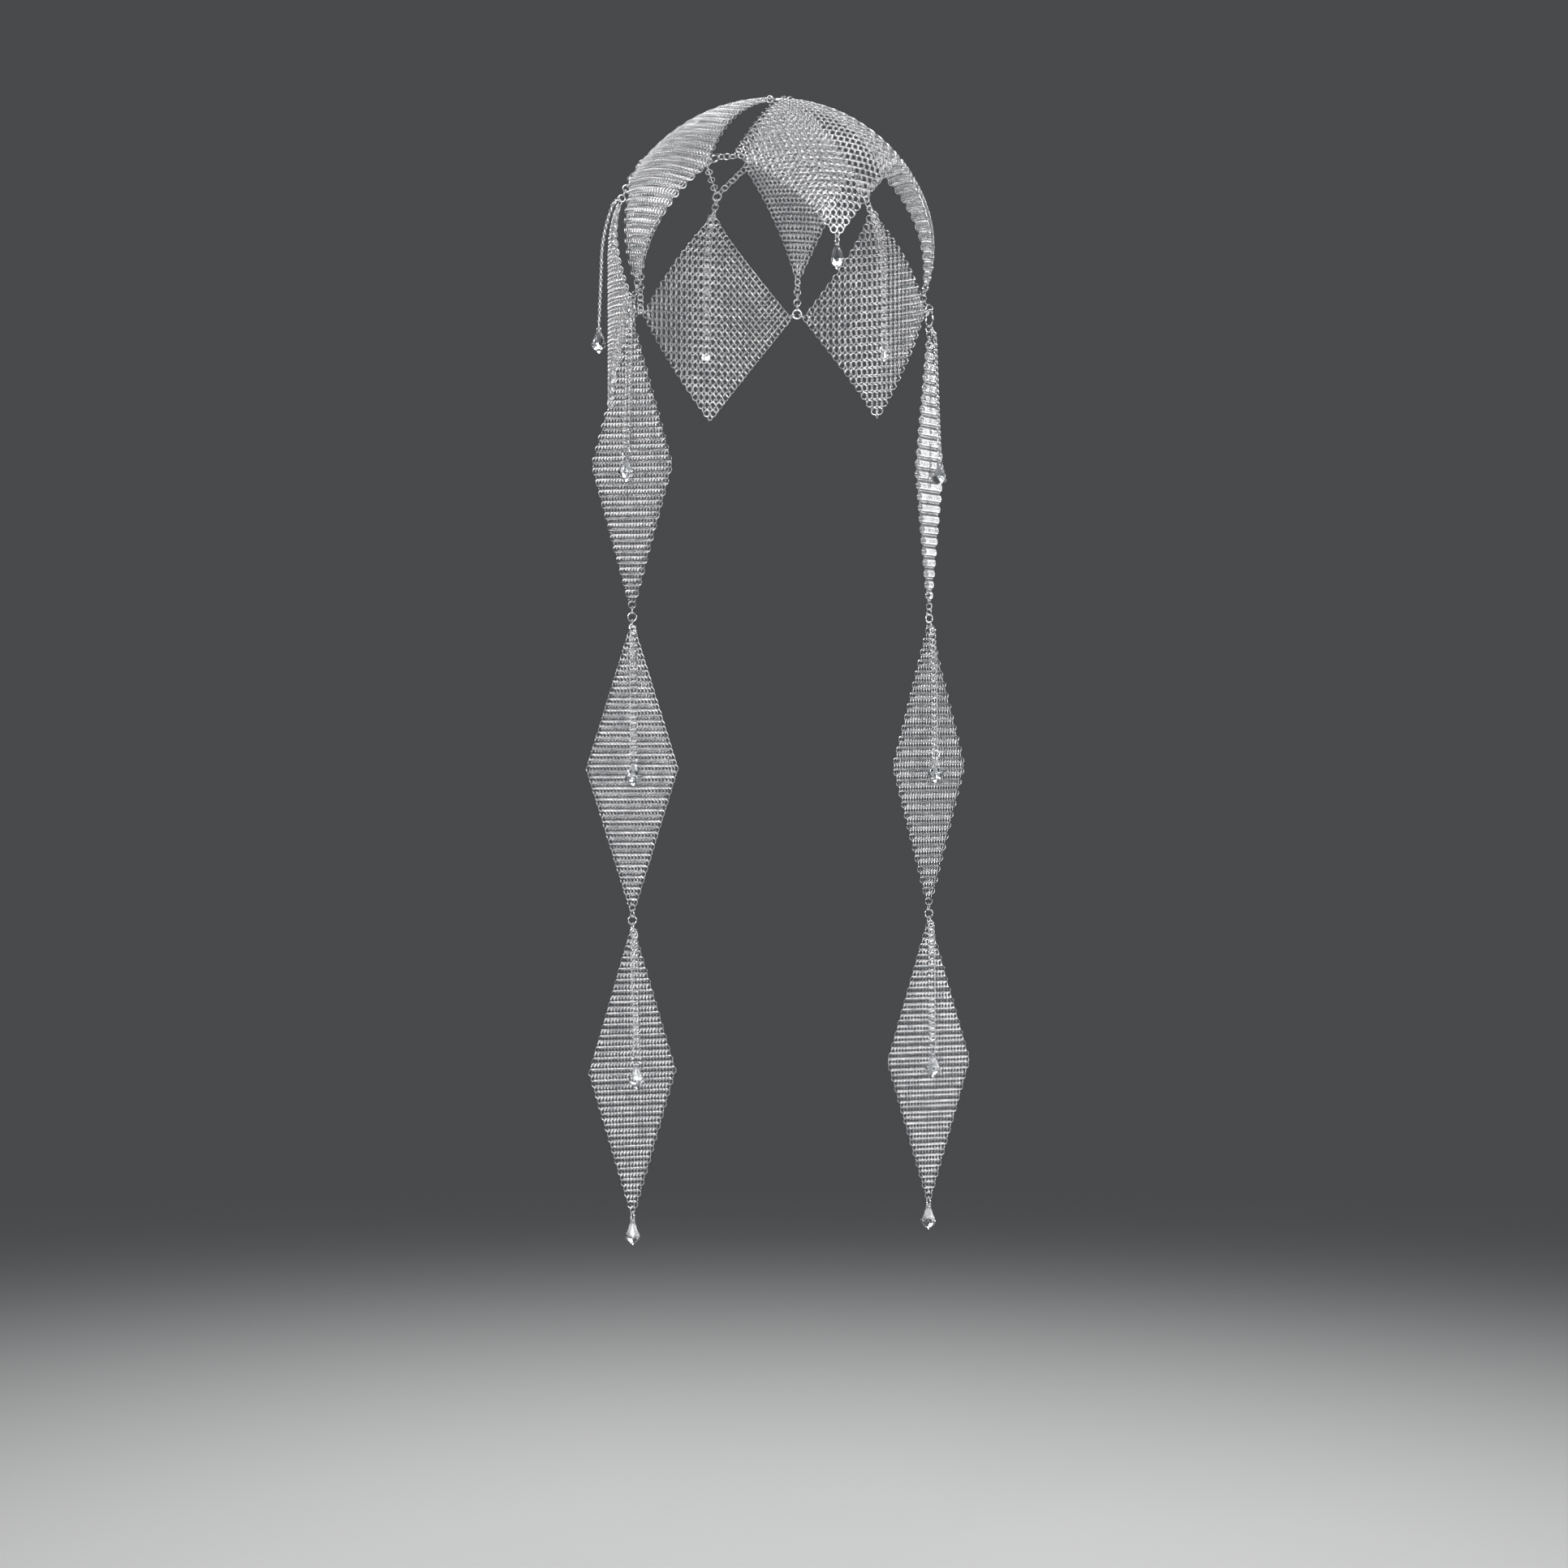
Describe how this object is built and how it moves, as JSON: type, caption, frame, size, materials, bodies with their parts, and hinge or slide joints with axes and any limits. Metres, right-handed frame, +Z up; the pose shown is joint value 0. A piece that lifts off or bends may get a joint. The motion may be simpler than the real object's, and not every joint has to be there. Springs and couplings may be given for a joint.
{
  "type": "mail veil",
  "caption": "Headpiece of linked steel mail: diamond panels cap the head and hang in long strands, with ring chains and clear faceted drops.",
  "frame": {"origin": "where the crown ring rests on the top of the head, on the underside of the mail", "axes": "+Z up; the front of the head is towards -Y, and the wearer's right side is at -X"},
  "size_m": [0.2304, 0.2071, 0.6391],
  "materials": {
    "steel": "polished",
    "drop_glass": "polished"
  },
  "bodies": {
    "cap": {"crown_ring": "steel", "crown_links": "steel", "mail_front": "steel", "mail_side_r": "steel", "mail_side_l": "steel", "mail_rear_r": "steel", "mail_rear_l": "steel", "mail_low_r": "steel", "mail_low_l": "steel", "mail_low_back": "steel", "junction_front_r": "steel", "junction_front_l": "steel", "junction_rear_r": "steel", "junction_rear_l": "steel", "junction_back": "steel", "nape_ring_r": "steel", "nape_ring_l": "steel", "temple_ring_r": "steel", "temple_ring_l": "steel", "temple_links_r": "steel", "temple_links_l": "steel", "front_links": "steel"},
    "swivel_1_r": {"swivel_1_r": "steel"},
    "panel_1_r": {"strand_1_r": "steel"},
    "chain_1_r": {"chain_1_r": "steel"},
    "drop_1_r": {"glass_1_r": "drop_glass"},
    "swivel_2_r": {"swivel_2_r": "steel"},
    "panel_2_r": {"strand_2_r": "steel"},
    "chain_2_r": {"chain_2_r": "steel"},
    "drop_2_r": {"glass_2_r": "drop_glass"},
    "swivel_3_r": {"swivel_3_r": "steel"},
    "panel_3_r": {"strand_3_r": "steel"},
    "chain_3_r": {"chain_3_r": "steel"},
    "drop_3_r": {"glass_3_r": "drop_glass"},
    "end_ring_r": {"end_jump_r": "steel"},
    "end_drop_r": {"end_glass_r": "drop_glass"},
    "swivel_1_l": {"swivel_1_l": "steel"},
    "panel_1_l": {"strand_1_l": "steel"},
    "chain_1_l": {"chain_1_l": "steel"},
    "drop_1_l": {"glass_1_l": "drop_glass"},
    "swivel_2_l": {"swivel_2_l": "steel"},
    "panel_2_l": {"strand_2_l": "steel"},
    "chain_2_l": {"chain_2_l": "steel"},
    "drop_2_l": {"glass_2_l": "drop_glass"},
    "swivel_3_l": {"swivel_3_l": "steel"},
    "panel_3_l": {"strand_3_l": "steel"},
    "chain_3_l": {"chain_3_l": "steel"},
    "drop_3_l": {"glass_3_l": "drop_glass"},
    "end_ring_l": {"end_jump_l": "steel"},
    "end_drop_l": {"end_glass_l": "drop_glass"},
    "front_ring": {"front_jump": "steel"},
    "front_drop": {"front_drop_glass": "drop_glass"},
    "chain_low_r": {"low_chain_r": "steel"},
    "drop_low_r": {"low_glass_r": "drop_glass"},
    "chain_low_l": {"low_chain_l": "steel"},
    "drop_low_l": {"low_glass_l": "drop_glass"},
    "chain_low_back": {"low_chain_back": "steel"},
    "drop_low_back": {"low_glass_back": "drop_glass"}
  },
  "joints": [
    {"name": "strand_sway_r", "type": "hinge", "parent": "cap", "child": "swivel_1_r", "pos_m": [-0.08949, -0.00506, -0.11843], "axis": [-1, 0, 0], "range_deg": [-15, 15]},
    {"name": "panel_hang_1_r", "type": "hinge", "parent": "swivel_1_r", "child": "panel_1_r", "pos_m": [-0.08949, -0.00506, -0.12423], "axis": [-0.6428, 0.766, 0], "range_deg": [-15, 15]},
    {"name": "chain_lift_1_r", "type": "hinge", "parent": "panel_1_r", "child": "chain_1_r", "pos_m": [-0.08949, -0.00506, -0.12423], "axis": [-0.6428, 0.766, 0], "range_deg": [0, 45]},
    {"name": "drop_swing_1_r", "type": "hinge", "parent": "chain_1_r", "child": "drop_1_r", "pos_m": [-0.09425, -0.00905, -0.19997], "axis": [-0.6428, 0.766, 0], "range_deg": [0, 40]},
    {"name": "side_sway_2_r", "type": "hinge", "parent": "panel_1_r", "child": "swivel_2_r", "pos_m": [-0.08949, -0.00506, -0.28103], "axis": [-0.3256, -0.9455, 0], "range_deg": [-15, 8]},
    {"name": "panel_hang_2_r", "type": "hinge", "parent": "swivel_2_r", "child": "panel_2_r", "pos_m": [-0.08949, -0.00506, -0.29152], "axis": [-0.9703, 0.2419, 0], "range_deg": [-15, 15]},
    {"name": "chain_lift_2_r", "type": "hinge", "parent": "panel_2_r", "child": "chain_2_r", "pos_m": [-0.08949, -0.00506, -0.29152], "axis": [-0.9703, 0.2419, 0], "range_deg": [0, 45]},
    {"name": "drop_swing_2_r", "type": "hinge", "parent": "chain_2_r", "child": "drop_2_r", "pos_m": [-0.09099, -0.01109, -0.36727], "axis": [-0.9703, 0.2419, 0], "range_deg": [0, 40]},
    {"name": "side_sway_3_r", "type": "hinge", "parent": "panel_2_r", "child": "swivel_3_r", "pos_m": [-0.08949, -0.00506, -0.44832], "axis": [0.2924, -0.9563, 0], "range_deg": [-15, 8]},
    {"name": "panel_hang_3_r", "type": "hinge", "parent": "swivel_3_r", "child": "panel_3_r", "pos_m": [-0.08949, -0.00506, -0.45882], "axis": [-1, 0, 0], "range_deg": [-15, 15]},
    {"name": "chain_lift_3_r", "type": "hinge", "parent": "panel_3_r", "child": "chain_3_r", "pos_m": [-0.08949, -0.00506, -0.45882], "axis": [-1, 0, 0], "range_deg": [0, 45]},
    {"name": "drop_swing_3_r", "type": "hinge", "parent": "chain_3_r", "child": "drop_3_r", "pos_m": [-0.08949, -0.01127, -0.53457], "axis": [-1, 0, 0], "range_deg": [0, 40]},
    {"name": "end_ring_swing_r", "type": "hinge", "parent": "panel_3_r", "child": "end_ring_r", "pos_m": [-0.08949, -0.00506, -0.61757], "axis": [-1, 0, 0], "range_deg": [-30, 30]},
    {"name": "end_drop_swing_r", "type": "hinge", "parent": "end_ring_r", "child": "end_drop_r", "pos_m": [-0.08949, -0.00506, -0.62151], "axis": [0, -1, 0], "range_deg": [-30, 30]},
    {"name": "strand_sway_l", "type": "hinge", "parent": "cap", "child": "swivel_1_l", "pos_m": [0.08949, -0.00506, -0.11843], "axis": [-1, 0, 0], "range_deg": [-15, 15]},
    {"name": "panel_hang_1_l", "type": "hinge", "parent": "swivel_1_l", "child": "panel_1_l", "pos_m": [0.08949, -0.00506, -0.12423], "axis": [-0.6428, -0.766, 0], "range_deg": [-15, 15]},
    {"name": "chain_lift_1_l", "type": "hinge", "parent": "panel_1_l", "child": "chain_1_l", "pos_m": [0.08949, -0.00506, -0.12423], "axis": [-0.6428, -0.766, 0], "range_deg": [0, 45]},
    {"name": "drop_swing_1_l", "type": "hinge", "parent": "chain_1_l", "child": "drop_1_l", "pos_m": [0.09425, -0.00905, -0.19997], "axis": [-0.6428, -0.766, 0], "range_deg": [0, 40]},
    {"name": "side_sway_2_l", "type": "hinge", "parent": "panel_1_l", "child": "swivel_2_l", "pos_m": [0.08949, -0.00506, -0.28103], "axis": [-0.3256, 0.9455, 0], "range_deg": [-15, 8]},
    {"name": "panel_hang_2_l", "type": "hinge", "parent": "swivel_2_l", "child": "panel_2_l", "pos_m": [0.08949, -0.00506, -0.29152], "axis": [-0.9703, -0.2419, 0], "range_deg": [-15, 15]},
    {"name": "chain_lift_2_l", "type": "hinge", "parent": "panel_2_l", "child": "chain_2_l", "pos_m": [0.08949, -0.00506, -0.29152], "axis": [-0.9703, -0.2419, 0], "range_deg": [0, 45]},
    {"name": "drop_swing_2_l", "type": "hinge", "parent": "chain_2_l", "child": "drop_2_l", "pos_m": [0.09099, -0.01109, -0.36727], "axis": [-0.9703, -0.2419, 0], "range_deg": [0, 40]},
    {"name": "side_sway_3_l", "type": "hinge", "parent": "panel_2_l", "child": "swivel_3_l", "pos_m": [0.08949, -0.00506, -0.44832], "axis": [0.2924, 0.9563, 0], "range_deg": [-15, 8]},
    {"name": "panel_hang_3_l", "type": "hinge", "parent": "swivel_3_l", "child": "panel_3_l", "pos_m": [0.08949, -0.00506, -0.45882], "axis": [-1, 0, 0], "range_deg": [-15, 15]},
    {"name": "chain_lift_3_l", "type": "hinge", "parent": "panel_3_l", "child": "chain_3_l", "pos_m": [0.08949, -0.00506, -0.45882], "axis": [-1, 0, 0], "range_deg": [0, 45]},
    {"name": "drop_swing_3_l", "type": "hinge", "parent": "chain_3_l", "child": "drop_3_l", "pos_m": [0.08949, -0.01127, -0.53457], "axis": [-1, 0, 0], "range_deg": [0, 40]},
    {"name": "end_ring_swing_l", "type": "hinge", "parent": "panel_3_l", "child": "end_ring_l", "pos_m": [0.08949, -0.00506, -0.61757], "axis": [-1, 0, 0], "range_deg": [-30, 30]},
    {"name": "end_drop_swing_l", "type": "hinge", "parent": "end_ring_l", "child": "end_drop_l", "pos_m": [0.08949, -0.00506, -0.62151], "axis": [0, 1, 0], "range_deg": [-30, 30]},
    {"name": "front_ring_swing", "type": "hinge", "parent": "cap", "child": "front_ring", "pos_m": [0, -0.08391, -0.08295], "axis": [-1, 0, 0], "range_deg": [0, 30]},
    {"name": "front_drop_swing", "type": "hinge", "parent": "front_ring", "child": "front_drop", "pos_m": [0, -0.08391, -0.08688], "axis": [0, -1, 0], "range_deg": [-25, 25]},
    {"name": "chain_lift_low_r", "type": "hinge", "parent": "cap", "child": "chain_low_r", "pos_m": [-0.0758, 0.04902, -0.05192], "axis": [0.4001, 0.9163, 0.0163], "range_deg": [0, 45]},
    {"name": "drop_swing_low_r", "type": "hinge", "parent": "chain_low_r", "child": "drop_low_r", "pos_m": [-0.08754, 0.05441, -0.12529], "axis": [0.3944, 0.9189, 0], "range_deg": [0, 40]},
    {"name": "chain_lift_low_l", "type": "hinge", "parent": "cap", "child": "chain_low_l", "pos_m": [0.0758, 0.04902, -0.05192], "axis": [0.4001, -0.9163, -0.0163], "range_deg": [0, 45]},
    {"name": "drop_swing_low_l", "type": "hinge", "parent": "chain_low_l", "child": "drop_low_l", "pos_m": [0.08754, 0.05441, -0.12529], "axis": [0.3944, -0.9189, 0], "range_deg": [0, 40]},
    {"name": "chain_lift_low_back", "type": "hinge", "parent": "cap", "child": "chain_low_back", "pos_m": [0, 0.10093, -0.05194], "axis": [1, 0, 0], "range_deg": [0, 45]},
    {"name": "drop_swing_low_back", "type": "hinge", "parent": "chain_low_back", "child": "drop_low_back", "pos_m": [0, 0.11421, -0.12514], "axis": [1, 0, 0], "range_deg": [0, 40]}
  ]
}
